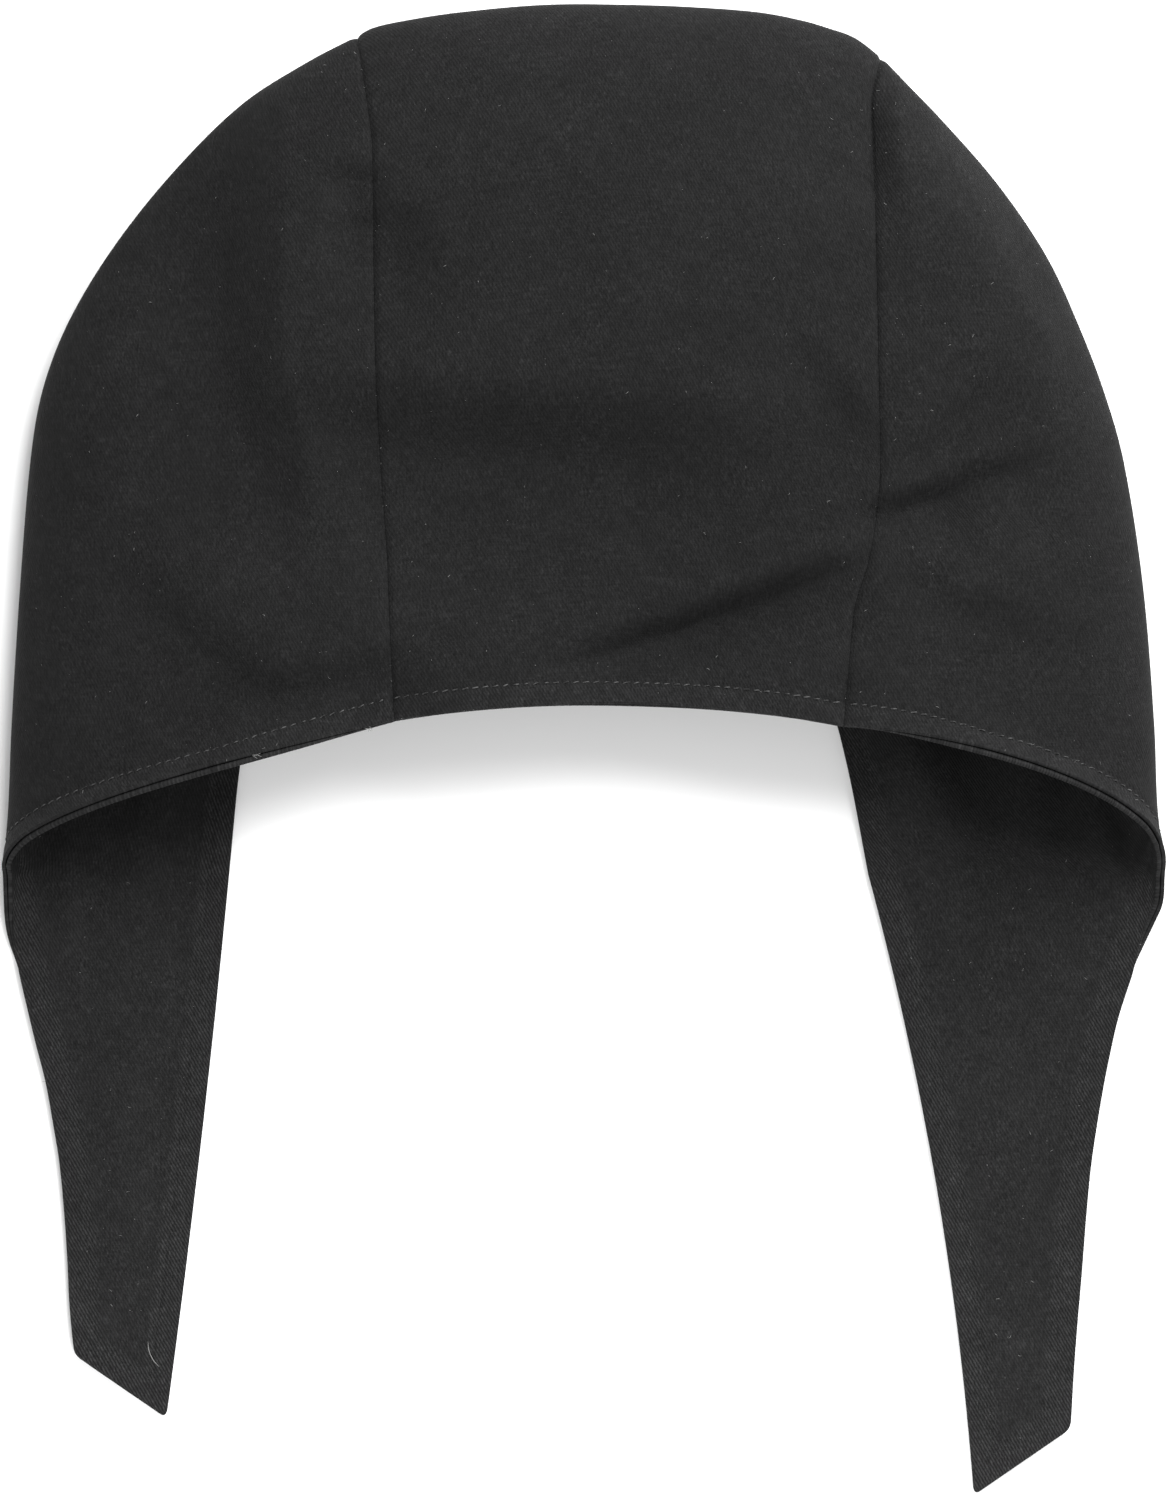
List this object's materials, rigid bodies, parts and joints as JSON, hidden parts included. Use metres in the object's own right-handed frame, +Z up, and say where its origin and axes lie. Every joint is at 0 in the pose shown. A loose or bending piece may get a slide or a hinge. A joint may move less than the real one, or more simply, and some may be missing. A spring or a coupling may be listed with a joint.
{
  "type": "linen coif",
  "caption": "Close-fitting lined cloth cap with a crown strip between two side cuts that run out into ties, laid down folded with its back up.",
  "frame": {"origin": "on the table plane, under the middle of the outline seen from above", "axes": "+Z up from the table; +Y from the ties towards the top of the crown; +X to the right seen from above, so the nape side of the coif is up"},
  "size_m": [0.3138, 0.4026, 0.0421],
  "materials": {
    "shell_cloth": "matt black linen, fine twill",
    "lining_cloth": "matt black linen lining, fine twill"
  },
  "bodies": {
    "root": {"crown_shell": "shell_cloth", "left_side_shell": "shell_cloth", "right_side_shell": "shell_cloth", "crown_lining": "lining_cloth", "left_side_lining": "lining_cloth", "right_side_lining": "lining_cloth"}
  },
  "joints": []
}
